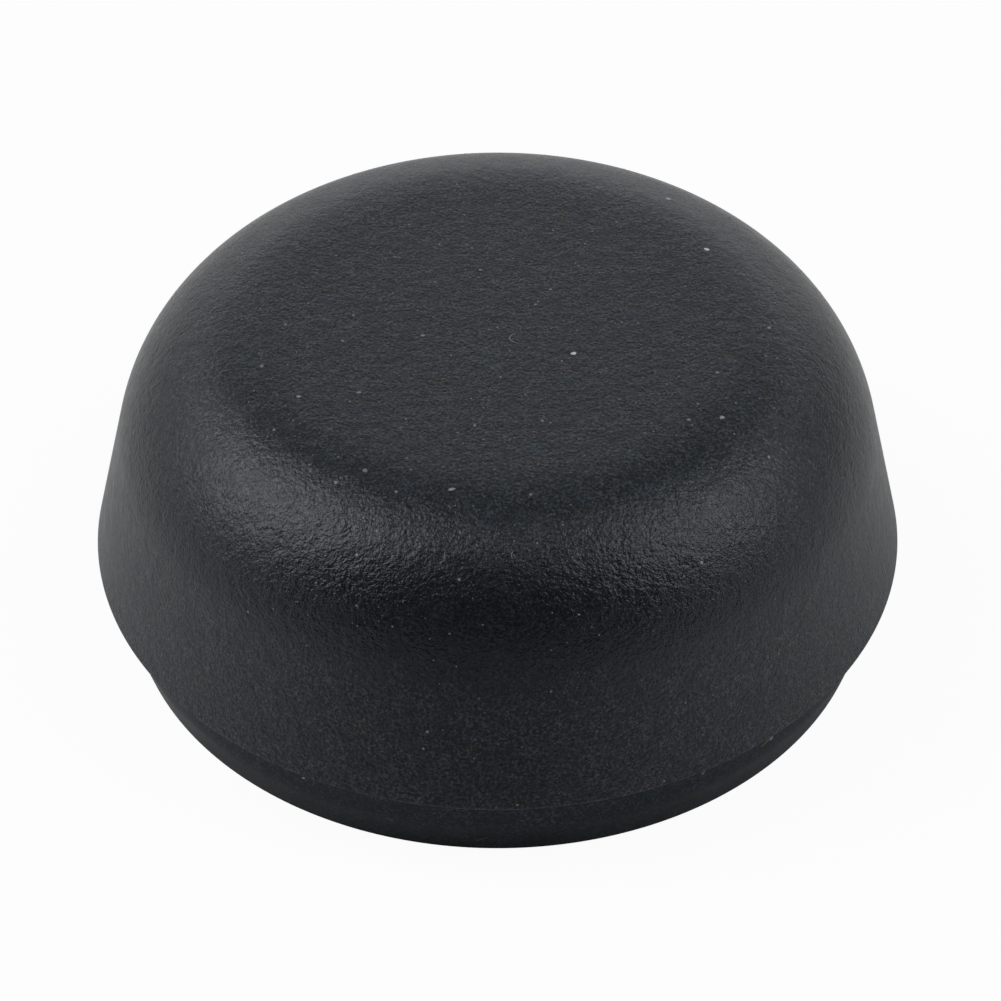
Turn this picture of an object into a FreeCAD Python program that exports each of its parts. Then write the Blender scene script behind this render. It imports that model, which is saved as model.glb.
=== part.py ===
import FreeCAD, Part
import math
import os

import Sketcher
from FreeCAD import Vector

# Wiper arm cap: one moulded shell that covers the nut at the foot of a wiper arm.
# A grained skirt and crown stand on a smooth spigot, which pushes into the recess of the arm.
# The origin is the centre of the rim, and +Z runs up through the crown.

# Lengths in millimetres, angles in degrees
sizes = {
    "cap_diameter": 25.0,  # across the foot of the skirt
    "cap_height": 10.7,  # from the rim to the flat top
    "skirt_draft": 12.2,  # how far the skirt leans in from upright
    "shoulder_radius": 5.3,  # outer bend where the skirt turns over
    "crown_radius": 3.9,  # tighter bend that runs into the flat top
    "crown_arc": 40.0,  # how much of the turn the tighter bend makes
    "seat_height": 2.65,  # ledge that comes to rest on the wiper arm
    "seat_width": 0.6,  # ledge, from the spigot to the foot of the skirt
    "land_length": 1.3,  # straight part of the spigot, which grips the recess
    "spigot_taper": 0.4,  # how far the spigot draws in below its land
    "wall": 1.5,  # crown and shoulder, measured square to the surface
    "core_draft": 2.0,  # lean of the hollow's side
    "rib_count": 6,
    "rib_width": 0.9,  # at the crest
    "rib_depth": 0.8,  # how far a rib stands out of the hollow's side
    "mouth_chamfer": 0.3,
    "lead_in": 1.6,  # height over which the ribs slope back to the mouth
    "rim_chamfer": 0.06,  # broken edge at the foot of the spigot
    "foot_chamfer": 0.06,  # broken edge at the foot of the skirt
    "gate_diameter": 1.8,  # stub of the gate, under the crown
    "gate_height": 0.3,
}

tolerance = 1e-4

doc = FreeCAD.newDocument("wiper_arm_cap")
sheet = doc.addObject("Spreadsheet::Sheet", "Sizes")
for row, (alias, size) in enumerate(sizes.items(), start=1):
    sheet.set(f"A{row}", alias)
    sheet.set(f"B{row}", str(size))
    sheet.setAlias(f"B{row}", alias)
doc.recompute()

body = doc.addObject("PartDesign::Body", "Cap")
body.Label = "wiper_arm_cap"

# A sketch's numbers for its origin and for the first two edges that it borrows
origin = -1
borrowed, next_borrowed = -3, -4


# A place in a sketch is an element's number and the number of a point on it
def start_of(element):
    return (element, 1)


def end_of(element):
    return (element, 2)


def centre_of(element):
    return (element, 3)


def new_sketch(name, role):
    sketch = body.newObject("Sketcher::SketchObject", name)
    plane = next(item for item in body.Origin.OriginFeatures if item.Role == role)
    sketch.AttachmentSupport = [(plane, "")]
    sketch.MapMode = "FlatFace"
    return sketch


def line(start, end):
    return Part.LineSegment(Vector(*start, 0), Vector(*end, 0))


def bend(centre, radius, start_angle, end_angle):
    circle = Part.Circle(Vector(*centre, 0), Vector(0, 0, 1), radius)
    return Part.ArcOfCircle(circle, math.radians(start_angle), math.radians(end_angle))


def constrain(sketch, kind, *places):
    return sketch.addConstraint(Sketcher.Constraint(kind, *places))


# Joins pieces end to end in a closed outline from the origin. The pieces in smooth end without a corner
def add_outline(sketch, pieces, smooth):
    elements = {name: sketch.addGeometry(piece, False) for name, piece in pieces.items()}
    names = list(elements)
    for name, following in zip(names, names[1:] + names[:1]):
        join = "Tangent" if name in smooth else "Coincident"
        constrain(sketch, join, *end_of(elements[name]), *start_of(elements[following]))
    constrain(sketch, "Coincident", *start_of(origin), *start_of(elements[names[0]]))
    return elements


# Adds a dimension whose value is an expression of the sheet's sizes
def drive(sketch, name, expression, kind, *places):
    value = sketch.evalExpression(expression)
    if kind == "Angle":
        value = math.radians(value)
    index = constrain(sketch, kind, *places, value)
    sketch.renameConstraint(index, name)
    sketch.setExpression(f"Constraints.{name}", expression)


# A dimension from the origin to a place, along kind
def drive_from_origin(sketch, name, expression, kind, place):
    drive(sketch, name, expression, kind, *start_of(origin), *place)


def align(sketch, kind, *elements):
    for element in elements:
        constrain(sketch, kind, element)


def revolve(kind, name, sketch):
    feature = body.newObject(kind, name)
    feature.Profile = sketch
    feature.ReferenceAxis = (sketch, ["V_Axis"])
    return feature


# Section of the outside, along the rim, up the spigot and skirt and back over the top.
# The places below only start the sketch off: its constraints hold the section
foot_radius = sizes["cap_diameter"] / 2
land_radius = foot_radius - sizes["seat_width"]
rim_radius = land_radius - sizes["spigot_taper"]
seat_height = sizes["seat_height"]
land_bottom = seat_height - sizes["land_length"]
cap_height = sizes["cap_height"]
skirt_lean = math.radians(sizes["skirt_draft"])
crown_turn = math.radians(sizes["crown_arc"])
bend_join = 90 - sizes["crown_arc"]

crown_centre_height = cap_height - sizes["crown_radius"]
centre_gap = sizes["shoulder_radius"] - sizes["crown_radius"]
shoulder_centre_height = crown_centre_height - centre_gap * math.cos(crown_turn)
skirt_top = shoulder_centre_height + sizes["shoulder_radius"] * math.sin(skirt_lean)
skirt_top_radius = foot_radius - (skirt_top - seat_height) * math.tan(skirt_lean)
shoulder_centre_radius = skirt_top_radius - sizes["shoulder_radius"] * math.cos(skirt_lean)
flat_radius = shoulder_centre_radius + centre_gap * math.sin(crown_turn)
shoulder_centre = (shoulder_centre_radius, shoulder_centre_height)
crown_centre = (flat_radius, crown_centre_height)

outer_section = new_sketch("OuterSection", "XZ_Plane")
outer = add_outline(
    outer_section,
    {
        "rim": line((0, 0), (rim_radius, 0)),
        "taper": line((rim_radius, 0), (land_radius, land_bottom)),
        "land": line((land_radius, land_bottom), (land_radius, seat_height)),
        "seat": line((land_radius, seat_height), (foot_radius, seat_height)),
        "skirt": line((foot_radius, seat_height), (skirt_top_radius, skirt_top)),
        "shoulder": bend(shoulder_centre, sizes["shoulder_radius"], sizes["skirt_draft"], bend_join),
        "crown": bend(crown_centre, sizes["crown_radius"], bend_join, 90),
        "top": line((flat_radius, cap_height), (0, cap_height)),
        "axis": line((0, cap_height), (0, 0)),
    },
    smooth=("skirt", "shoulder", "crown"),
)
align(outer_section, "Horizontal", outer["rim"], outer["seat"], outer["top"])
align(outer_section, "Vertical", outer["land"], outer["axis"])
foot_from_axis = "Sizes.cap_diameter / 2"
land_from_axis = f"{foot_from_axis} - Sizes.seat_width"
rim_from_axis = f"{land_from_axis} - Sizes.spigot_taper"
drive_from_origin(outer_section, "rim_radius", rim_from_axis, "DistanceX", end_of(outer["rim"]))
drive_from_origin(outer_section, "land_radius", land_from_axis, "DistanceX", start_of(outer["land"]))
drive_from_origin(outer_section, "foot_radius", foot_from_axis, "DistanceX", end_of(outer["seat"]))
drive_from_origin(outer_section, "seat_height", "Sizes.seat_height", "DistanceY", start_of(outer["seat"]))
drive_from_origin(outer_section, "cap_height", "Sizes.cap_height", "DistanceY", start_of(outer["axis"]))
drive(outer_section, "land_length", "Sizes.land_length", "Distance", outer["land"])
drive(outer_section, "skirt_lean", "90 + Sizes.skirt_draft", "Angle", outer["skirt"])
drive(outer_section, "shoulder_radius", "Sizes.shoulder_radius", "Radius", outer["shoulder"])
drive(outer_section, "crown_radius", "Sizes.crown_radius", "Radius", outer["crown"])
drive(outer_section, "crown_arc", "Sizes.crown_arc", "Angle", outer["crown"])

revolve("PartDesign::Revolution", "OuterForm", outer_section)
doc.recompute()

# Section of the hollow between the ribs: the same two bends, set in by the wall
core_lean = math.radians(sizes["core_draft"])
roof_height = cap_height - sizes["wall"]
hollow_bend = sizes["shoulder_radius"] - sizes["wall"]
side_top_radius = shoulder_centre_radius + hollow_bend * math.cos(core_lean)
side_top = shoulder_centre_height + hollow_bend * math.sin(core_lean)
mouth_radius = side_top_radius + side_top * math.tan(core_lean)

bay_section = new_sketch("BaySection", "XZ_Plane")
bay = add_outline(
    bay_section,
    {
        "mouth": line((0, 0), (mouth_radius, 0)),
        "side": line((mouth_radius, 0), (side_top_radius, side_top)),
        "shoulder": bend(shoulder_centre, hollow_bend, sizes["core_draft"], bend_join),
        "crown": bend(crown_centre, sizes["crown_radius"] - sizes["wall"], bend_join, 90),
        "roof": line((flat_radius, roof_height), (0, roof_height)),
        "axis": line((0, roof_height), (0, 0)),
    },
    smooth=("side", "shoulder", "crown"),
)
bay_section.addExternal(outer_section.Name, f"Edge{outer['shoulder'] + 1}")
bay_section.addExternal(outer_section.Name, f"Edge{outer['crown'] + 1}")
constrain(bay_section, "Coincident", *centre_of(bay["shoulder"]), *centre_of(borrowed))
constrain(bay_section, "Coincident", *centre_of(bay["crown"]), *centre_of(next_borrowed))
align(bay_section, "Horizontal", bay["mouth"], bay["roof"])
align(bay_section, "Vertical", bay["axis"])
inner_bend = "Sizes.shoulder_radius - Sizes.wall"
drive(bay_section, "inner_shoulder", inner_bend, "Radius", bay["shoulder"])
drive(bay_section, "side_lean", "90 + Sizes.core_draft", "Angle", bay["side"])
doc.recompute()

# Section of the hollow inside the ribs' crests. It flares at the mouth, which slopes the ribs' lower ends,
# and its one bend, as wide as the wall's inner bend, runs the ribs out under the crown
crest_mouth_radius = mouth_radius - sizes["rib_depth"] / math.cos(core_lean)
crest_radius = crest_mouth_radius - sizes["lead_in"] * math.tan(core_lean)
run_out_height = roof_height - hollow_bend
run_out_radius = (
    crest_mouth_radius - run_out_height * math.tan(core_lean) - hollow_bend / math.cos(core_lean)
)
crest_top_radius = run_out_radius + hollow_bend * math.cos(core_lean)
crest_top = run_out_height + hollow_bend * math.sin(core_lean)
flare_radius = mouth_radius + sizes["mouth_chamfer"]

core_section = new_sketch("CoreSection", "XZ_Plane")
core = add_outline(
    core_section,
    {
        "mouth": line((0, 0), (flare_radius, 0)),
        "flare": line((flare_radius, 0), (crest_radius, sizes["lead_in"])),
        "crest": line((crest_radius, sizes["lead_in"]), (crest_top_radius, crest_top)),
        "run_out": bend((run_out_radius, run_out_height), hollow_bend, sizes["core_draft"], 90),
        "roof": line((run_out_radius, roof_height), (0, roof_height)),
        "axis": line((0, roof_height), (0, 0)),
    },
    smooth=("crest", "run_out"),
)
core_section.addExternal(bay_section.Name, f"Edge{bay['side'] + 1}")
constrain(core_section, "Parallel", core["crest"], borrowed)
align(core_section, "Horizontal", core["mouth"], core["roof"])
align(core_section, "Vertical", core["axis"])
wall_foot = start_of(borrowed)
drive(core_section, "rib_depth", "Sizes.rib_depth", "Distance", *wall_foot, core["crest"])
drive(core_section, "mouth_chamfer", "Sizes.mouth_chamfer", "DistanceX", *wall_foot, *end_of(core["mouth"]))
drive_from_origin(core_section, "lead_in", "Sizes.lead_in", "DistanceY", start_of(core["crest"]))
drive_from_origin(
    core_section, "roof_height", "Sizes.cap_height - Sizes.wall", "DistanceY", start_of(core["axis"])
)
drive(core_section, "run_out", inner_bend, "Radius", core["run_out"])
crest_note = constrain(
    core_section, "DistanceX", *start_of(origin), *start_of(core["crest"]), crest_radius
)
core_section.setDriving(crest_note, False)
core_section.renameConstraint(crest_note, "crest_radius")

revolve("PartDesign::Groove", "CoreCut", core_section)
doc.recompute()

# The bays between the ribs come out of what the core left, so each rib ends in the shell's own section
rib_angle = "2 * asin(Sizes.rib_width * 1 mm / 2 / CoreSection.Constraints.crest_radius)"
bay_cut = revolve("PartDesign::Groove", "BayCut", bay_section)
bay_cut.Midplane = True
bay_cut.setExpression("Angle", f"360 deg / Sizes.rib_count - {rib_angle}")
doc.recompute()

bays = body.newObject("PartDesign::PolarPattern", "Bays")
bays.Originals = [bay_cut]
bays.Axis = (bay_section, ["V_Axis"])
bays.Angle = 360
bays.setExpression("Occurrences", "Sizes.rib_count")
body.Tip = bays
doc.recompute()

# Stub of the gate, in the middle of the crown's underside
gate_sketch = new_sketch("GateSketch", "XY_Plane")
gate_sketch.setExpression("AttachmentOffset.Base.z", "Sizes.cap_height - Sizes.wall")
gate_circle = Part.Circle(Vector(0, 0, 0), Vector(0, 0, 1), sizes["gate_diameter"] / 2)
gate = gate_sketch.addGeometry(gate_circle, False)
constrain(gate_sketch, "Coincident", *centre_of(gate), *start_of(origin))
drive(gate_sketch, "gate_diameter", "Sizes.gate_diameter", "Diameter", gate)
gate_stub = body.newObject("PartDesign::Pad", "GateStub")
gate_stub.Profile = gate_sketch
gate_stub.Reversed = True
gate_stub.setExpression("Length", "Sizes.gate_height")
doc.recompute()


# Names of the edges that are part of one circle about the cap's axis
def ring_edges(feature, radius, height):
    names = []
    for number, edge in enumerate(feature.Shape.Edges, start=1):
        if not isinstance(edge.Curve, Part.Circle):
            continue
        same_radius = abs(edge.Curve.Radius - radius) < tolerance
        if same_radius and abs(edge.Curve.Center.z - height) < tolerance:
            names.append(f"Edge{number}")
    return names


def bevel(name, base, radius, height, size):
    chamfer = body.newObject("PartDesign::Chamfer", name)
    chamfer.Base = (base, ring_edges(base, radius, height))
    chamfer.setExpression("Size", f"Sizes.{size}")
    doc.recompute()
    return chamfer


rim_edge = bevel("RimChamfer", gate_stub, rim_radius, 0, "rim_chamfer")
foot_edge = bevel("FootChamfer", rim_edge, foot_radius, seat_height, "foot_chamfer")
body.Tip = foot_edge
doc.recompute()

for item in doc.Objects:
    if "Invalid" in item.State or "Error" in item.State:
        raise RuntimeError(f"{item.Name}: {item.State}")

cap = body.Shape
if cap.isNull() or not cap.isValid() or len(cap.Solids) != 1:
    raise RuntimeError("the cap isn't one valid solid")

os.makedirs("parts", exist_ok=True)
cap.exportStep(f"parts/{body.Label}.step")
box = cap.optimalBoundingBox()
print(f"{body.Label}: {box.XLength:.3f} x {box.YLength:.3f} x {box.ZLength:.3f} mm, {cap.Volume:.1f} mm3")
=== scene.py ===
import math
import random

import bmesh
import bpy
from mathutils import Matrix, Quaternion, Vector
from mathutils.bvhtree import BVHTree


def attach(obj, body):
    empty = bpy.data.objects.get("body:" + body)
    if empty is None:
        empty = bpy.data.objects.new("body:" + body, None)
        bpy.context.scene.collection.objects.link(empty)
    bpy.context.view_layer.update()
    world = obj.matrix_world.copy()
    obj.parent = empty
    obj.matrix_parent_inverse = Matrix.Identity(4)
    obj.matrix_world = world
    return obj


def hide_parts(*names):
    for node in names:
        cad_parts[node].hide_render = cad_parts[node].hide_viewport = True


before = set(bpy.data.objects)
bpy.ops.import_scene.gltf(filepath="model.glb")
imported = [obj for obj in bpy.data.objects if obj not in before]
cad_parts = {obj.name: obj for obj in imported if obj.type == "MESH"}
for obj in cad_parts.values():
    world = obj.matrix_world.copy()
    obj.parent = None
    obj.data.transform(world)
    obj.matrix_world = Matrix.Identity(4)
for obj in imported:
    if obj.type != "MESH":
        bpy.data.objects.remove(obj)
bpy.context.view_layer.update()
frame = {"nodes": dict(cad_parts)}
mm = 0.001
print("frame loaded:", ", ".join(frame["nodes"]))


# Helpers for node trees


def wire(tree, value, socket):
    # A socket is linked, and any other value is set
    if isinstance(value, bpy.types.NodeSocket):
        tree.links.new(value, socket)
    else:
        socket.default_value = value


def addNode(tree, kind, inputs=None, **settings):
    node = tree.nodes.new(kind)
    for name, value in settings.items():
        setattr(node, name, value)
    for name, value in (inputs or {}).items():
        wire(tree, value, node.inputs[name])
    return node


def calc(tree, operation, *values):
    node = addNode(tree, "ShaderNodeMath", operation=operation)
    for place, value in enumerate(values):
        wire(tree, value, node.inputs[place])
    return node.outputs[0]


def remap(tree, value, fromLow, fromHigh, toLow, toHigh):
    return addNode(tree, "ShaderNodeMapRange", {
        "Value": value,
        "From Min": fromLow,
        "From Max": fromHigh,
        "To Min": toLow,
        "To Max": toHigh,
    }).outputs["Result"]


def blend(tree, factor, low, high):
    return remap(tree, factor, 0, 1, low, high)


def blendByNoise(tree, noise, low, high):
    # Nearly all of a noise texture's values lie between 0.3 and 0.7
    return remap(tree, noise.outputs["Fac"], 0.3, 0.7, low, high)


def blendColours(tree, factor, first, second):
    node = addNode(tree, "ShaderNodeMix", data_type="RGBA")
    wire(tree, factor, node.inputs[0])
    wire(tree, first, node.inputs[6])
    wire(tree, second, node.inputs[7])
    return node.outputs[2]


def distanceFrom(tree, place, point):
    node = addNode(tree, "ShaderNodeVectorMath", {0: place, 1: point}, operation="DISTANCE")
    return node.outputs["Value"]


def newTree(name, kind, inputs, outputs):
    tree = bpy.data.node_groups.new(name, kind)
    for direction, sockets in (("INPUT", inputs), ("OUTPUT", outputs)):
        for label, kindOfSocket in sockets.items():
            socketType = f"NodeSocket{kindOfSocket}"
            tree.interface.new_socket(label, in_out=direction, socket_type=socketType)
    start = tree.nodes.new("NodeGroupInput").outputs
    end = tree.nodes.new("NodeGroupOutput").inputs
    return tree, start, end


def newMaterial(name):
    material = bpy.data.materials.new(name)
    material.use_nodes = True
    return material, material.node_tree, material.node_tree.nodes["Principled BSDF"]


def newObject(name, data):
    thing = bpy.data.objects.new(name, data)
    bpy.context.scene.collection.objects.link(thing)
    return thing


def growMesh(name, base, tree, values):
    # Runs a Geometry Nodes tree on a base mesh, and keeps what it makes as a plain object
    holder = newObject(name, base)
    modifier = holder.modifiers.new(tree.name, "NODES")
    modifier.node_group = tree
    inputs = [item for item in tree.interface.items_tree if item.in_out == "INPUT"]
    identifiers = {item.name: item.identifier for item in inputs}
    for label, value in values.items():
        modifier[identifiers[label]] = value
    evaluated = holder.evaluated_get(bpy.context.evaluated_depsgraph_get())
    grown = bpy.data.meshes.new_from_object(evaluated)
    holder.modifiers.clear()
    holder.data = grown
    grown.name = name
    return holder


# Camera, from the photograph's viewing angle

cameraSet = {
    "elevation": 41.68,  # degrees above the horizon
    "distance": 127.7 * mm,
    "lens": 148.7,  # mm
    "aim": (0.09 * mm, -0.86 * mm, 4.38 * mm),
    "nearest": 5 * mm,
    "farthest": 10,
}


def makeCamera(choice):
    tilt = math.radians(choice["elevation"])
    back = Vector((0, -math.cos(tilt), math.sin(tilt)))
    camera = newObject("camera", bpy.data.cameras.new("camera"))
    camera.data.lens = choice["lens"]
    camera.data.clip_start = choice["nearest"]
    camera.data.clip_end = choice["farthest"]
    camera.location = Vector(choice["aim"]) + back * choice["distance"]
    camera.rotation_euler = (math.pi / 2 - tilt, 0, 0)
    bpy.context.scene.camera = camera
    bpy.context.view_layer.update()


makeCamera(cameraSet)
print("camera placed:", cameraSet["lens"], "mm lens")


# Finishes

plastic = {
    "colour": (0.0058, 0.0080, 0.0102, 1),
    "grainSize": 0.12 * mm,
    "grainDepth": 0.046 * mm,
    "grainSharpness": 0.7,
    "lumpScale": 0.36,  # lumps to a bump
    "lumpHeight": 0.27,  # to either side, where the bumps' own height runs from 0 to 1
    "topHeights": (10.25 * mm, 10.6 * mm),  # the grain grows shallower over these
    "topGrain": 0.5,  # share of its depth that is left on the flat top
    "grainedRoughness": 0.25,
    "grainedUnevenness": 0.03,
    "grainedSpecular": 0.5,
    "polishSize": 0.5 * mm,  # faint waves that the mould's polish leaves
    "polishDepth": 0.004 * mm,
    "polishSharpness": 0.5,
    "flowsPerMetre": 300.0,  # how fine the change of roughness is on the smooth plastic
    "smoothRoughness": 0.42,
    "smoothUnevenness": 0.05,
    "smoothSpecular": 0.25,
    "sheenTint": (0.88, 0.905, 1.0, 1),
    "warmFilm": (0.113, 0.115, 0.117, 1),  # fine dust held in the grain
    "coolFilm": (0.080, 0.113, 0.139, 1),
    "filmCover": 0.8,
    "filmSpacing": 0.12 * mm,
    "filmLook": {
        "dotRadii": (0.15, 0.50),  # shares of the spacing
        "dotCore": 0.4,  # share of its radius over which a dot is even
        "dotContrast": 1.5,
        "mottleScale": 1.3,  # noise cells to a spacing
        "mottleLevels": (0.46, 0.68),
        "mottleCover": 0.66,
        "patchScale": 0.2,  # noise cells to a spacing
        "patchLevels": (0.35, 0.65),
        "patchShare": 0.5,  # of the film that is left where it is thinnest
    },
    "castsPerMetre": 1400.0,  # how fine the film's change from warm to cool is
    "castLevels": (0.4, 0.6),
    # Heights on the shoulder of a painted shade: the dust film is thinned from the second to the
    # third, which darkens the band
    "paintedShadeBand": (6.0 * mm, 7.4 * mm, 9.6 * mm, 10.5 * mm),
    "paintedShadeShare": 0.3,
    "edgeHeight": 2.65 * mm,  # the foot of the skirt, where a fine paler line runs
    "edgeBand": 0.12 * mm,
    "paleEdgeLine": 0.4,
    "spigotHeights": (0.4 * mm, 2.4 * mm),
    "spigotFilmAndLight": (0.68, 1.05),  # the film's share at these heights: dust, with a painted light that grows towards the ledge
    "ledgeHeights": (0.8 * mm, 2.4 * mm),  # painted light grows over these, as pale film up to the ledge
    "paintedLedgeLight": 0.13,
    "hollowHeights": (2.7 * mm, 6 * mm),  # where that painted light runs out inside
    # A painted reflection of a warm thing: a brown tint on the left of the shoulder
    "paintedReflectionPlace": (-4.7 * mm, -8.5 * mm, 9.9 * mm),
    "paintedReflectionSize": 0.7 * mm,
    "paintedReflectionStrength": 0.5,
    "paintedReflectionColour": (0.030, 0.018, 0.010, 1),
}


def makeGrainGroup():
    # Spark-eroded mould texture: rounded bumps of uneven size, with finer ones on them,
    # on lumps that are nearly three times as wide
    tree, start, end = newTree("mouldGrain", "ShaderNodeTree", {
        "Vector": "Vector",
        "Bump Size": "Float",
        "Sharpness": "Float",
        "Lump Scale": "Float",
        "Lump Height": "Float",
    }, {"Height": "Float"})
    bumps = addNode(tree, "ShaderNodeTexNoise", {
        "Vector": start["Vector"],
        "Scale": calc(tree, "DIVIDE", 1, start["Bump Size"]),
        "Detail": 2.0,
        "Roughness": start["Sharpness"],
    })
    lumps = addNode(tree, "ShaderNodeTexNoise", {
        "Vector": start["Vector"],
        "Scale": calc(tree, "DIVIDE", start["Lump Scale"], start["Bump Size"]),
        "Detail": 0.0,
    })
    lowest = calc(tree, "MULTIPLY", start["Lump Height"], -1)
    lump = blend(tree, lumps.outputs["Fac"], lowest, start["Lump Height"])
    height = calc(tree, "ADD", bumps.outputs["Fac"], lump)
    tree.links.new(height, end["Height"])
    return tree


def makeFilmGroup(look):
    # Fine dust caught between the bumps: a faint mottle, and pale dots of uneven size and
    # strength on it
    tree, start, end = newTree("dustFilm", "ShaderNodeTree", {
        "Vector": "Vector",
        "Spacing": "Float",
        "Cover": "Float",
    }, {"Mask": "Float"})
    scale = calc(tree, "DIVIDE", 1, start["Spacing"])
    dots = addNode(tree, "ShaderNodeTexVoronoi", {"Vector": start["Vector"], "Scale": scale})
    chance = addNode(tree, "ShaderNodeSeparateColor", {"Color": dots.outputs["Color"]})
    reach = blend(tree, chance.outputs[0], *look["dotRadii"])
    core = calc(tree, "MULTIPLY", reach, look["dotCore"])
    dot = remap(tree, dots.outputs["Distance"], core, reach, 1, 0)
    strength = calc(tree, "POWER", chance.outputs[1], look["dotContrast"])
    grit = addNode(tree, "ShaderNodeTexNoise", {
        "Vector": start["Vector"],
        "Scale": calc(tree, "MULTIPLY", scale, look["mottleScale"]),
        "Detail": 2.0,
        "Roughness": 0.7,
    })
    mottle = remap(tree, grit.outputs["Fac"], *look["mottleLevels"], 0, look["mottleCover"])
    broad = addNode(tree, "ShaderNodeTexNoise", {
        "Vector": start["Vector"],
        "Scale": calc(tree, "MULTIPLY", scale, look["patchScale"]),
        "Detail": 2.0,
    })
    patches = remap(tree, broad.outputs["Fac"], *look["patchLevels"], look["patchShare"], 1)
    spots = calc(tree, "MAXIMUM", calc(tree, "MULTIPLY", dot, strength), mottle)
    mask = calc(tree, "MULTIPLY", spots, patches)
    tree.links.new(calc(tree, "MULTIPLY", mask, start["Cover"]), end["Mask"])
    return tree


def addFilm(tree, place, choice, filmGroup):
    return addNode(tree, "ShaderNodeGroup", {
        "Vector": place,
        "Spacing": choice["filmSpacing"],
        "Cover": choice["filmCover"],
    }, node_tree=filmGroup).outputs[0]


def finishShader(tree, shader, colour, roughness, bump):
    wire(tree, colour, shader.inputs["Base Color"])
    wire(tree, roughness, shader.inputs["Roughness"])
    wire(tree, bump.outputs["Normal"], shader.inputs["Normal"])


def makeGrainedPlastic(choice, grainGroup, filmGroup):
    material, tree, shader = newMaterial("grainedPlastic")
    place = addNode(tree, "ShaderNodeTexCoord").outputs["Object"]
    grain = addNode(tree, "ShaderNodeGroup", {
        "Vector": place,
        "Bump Size": choice["grainSize"],
        "Sharpness": choice["grainSharpness"],
        "Lump Scale": choice["lumpScale"],
        "Lump Height": choice["lumpHeight"],
    }, node_tree=grainGroup)
    film = addFilm(tree, place, choice, filmGroup)

    # Painted reflection: a warm brown tint on the left of the shoulder, painted into the base
    # colour
    away = distanceFrom(tree, place, choice["paintedReflectionPlace"])
    paintedReflection = remap(tree, away, 0, choice["paintedReflectionSize"], choice["paintedReflectionStrength"], 0)
    reflectionTinted = blendColours(tree, paintedReflection, choice["colour"], choice["paintedReflectionColour"])
    broad = addNode(tree, "ShaderNodeTexNoise", {
        "Vector": place,
        "Scale": choice["castsPerMetre"],
        "Detail": 1.0,
    })
    cast = remap(tree, broad.outputs["Fac"], *choice["castLevels"], 0, 1)
    filmColour = blendColours(tree, cast, choice["warmFilm"], choice["coolFilm"])
    height = addNode(tree, "ShaderNodeSeparateXYZ", {0: place}).outputs["Z"]
    # Painted shade: a darker band on the shoulder, made by thinning the dust film
    bandFoot, bandLow, bandHigh, bandTop = choice["paintedShadeBand"]
    belowBand = remap(tree, height, bandFoot, bandLow, 1, choice["paintedShadeShare"])
    aboveBand = remap(tree, height, bandHigh, bandTop, choice["paintedShadeShare"], 1)
    filmShading = calc(tree, "MAXIMUM", belowBand, aboveBand)
    # A paler line just above the foot of the skirt
    aboveEdge = calc(tree, "SUBTRACT", height, choice["edgeHeight"])
    edge = remap(tree, aboveEdge, 0, choice["edgeBand"], 1, 0)
    paleEdgeLine = calc(tree, "MULTIPLY", edge, choice["paleEdgeLine"])
    filmAndShading = calc(tree, "MULTIPLY", film, filmShading)
    cover = calc(tree, "MINIMUM", calc(tree, "ADD", filmAndShading, paleEdgeLine), 1)
    colour = blendColours(tree, cover, reflectionTinted, filmColour)
    middle, spread = choice["grainedRoughness"], choice["grainedUnevenness"]
    roughness = blendByNoise(tree, broad, middle - spread, middle + spread)
    onTop = remap(tree, height, *choice["topHeights"], 1, choice["topGrain"])
    bumps = calc(tree, "MULTIPLY", calc(tree, "SUBTRACT", grain.outputs[0], 0.5), onTop)
    bump = addNode(tree, "ShaderNodeBump", {"Height": bumps, "Distance": choice["grainDepth"]})

    finishShader(tree, shader, colour, roughness, bump)
    shader.inputs["Specular IOR Level"].default_value = choice["grainedSpecular"]
    shader.inputs["Specular Tint"].default_value = choice["sheenTint"]
    return material


def makeSmoothPlastic(choice, grainGroup, filmGroup):
    # The spigot and the hollow, where the mould is only polished
    material, tree, shader = newMaterial("smoothPlastic")
    place = addNode(tree, "ShaderNodeTexCoord").outputs["Object"]
    grain = addNode(tree, "ShaderNodeGroup", {
        "Vector": place,
        "Bump Size": choice["polishSize"],
        "Sharpness": choice["polishSharpness"],
        "Lump Scale": choice["lumpScale"],
        "Lump Height": choice["lumpHeight"],
    }, node_tree=grainGroup)
    film = addFilm(tree, place, choice, filmGroup)
    height = addNode(tree, "ShaderNodeSeparateXYZ", {0: place}).outputs["Z"]
    # Painted light: more pale film towards the ledge, which lightens the spigot where the ledge
    # shades it
    filmShading = remap(tree, height, *choice["spigotHeights"], *choice["spigotFilmAndLight"])
    filmAndShading = calc(tree, "MULTIPLY", film, filmShading)
    underLedge = remap(tree, height, *choice["ledgeHeights"], 0, choice["paintedLedgeLight"])
    outside = remap(tree, height, *choice["hollowHeights"], 1, 0)
    paintedLedgeLight = calc(tree, "MULTIPLY", underLedge, outside)
    cover = calc(tree, "MINIMUM", calc(tree, "ADD", filmAndShading, paintedLedgeLight), 1)
    bump = addNode(tree, "ShaderNodeBump", {
        "Height": grain.outputs[0],
        "Distance": choice["polishDepth"],
    })
    flow = addNode(tree, "ShaderNodeTexNoise", {
        "Vector": place,
        "Scale": choice["flowsPerMetre"],
        "Detail": 3.0,
    })
    middle, spread = choice["smoothRoughness"], choice["smoothUnevenness"]
    roughness = blendByNoise(tree, flow, middle - spread, middle + spread)
    colour = blendColours(tree, cover, choice["colour"], choice["coolFilm"])
    finishShader(tree, shader, colour, roughness, bump)
    shader.inputs["Specular IOR Level"].default_value = choice["smoothSpecular"]
    shader.inputs["Specular Tint"].default_value = choice["sheenTint"]
    return material


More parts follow.
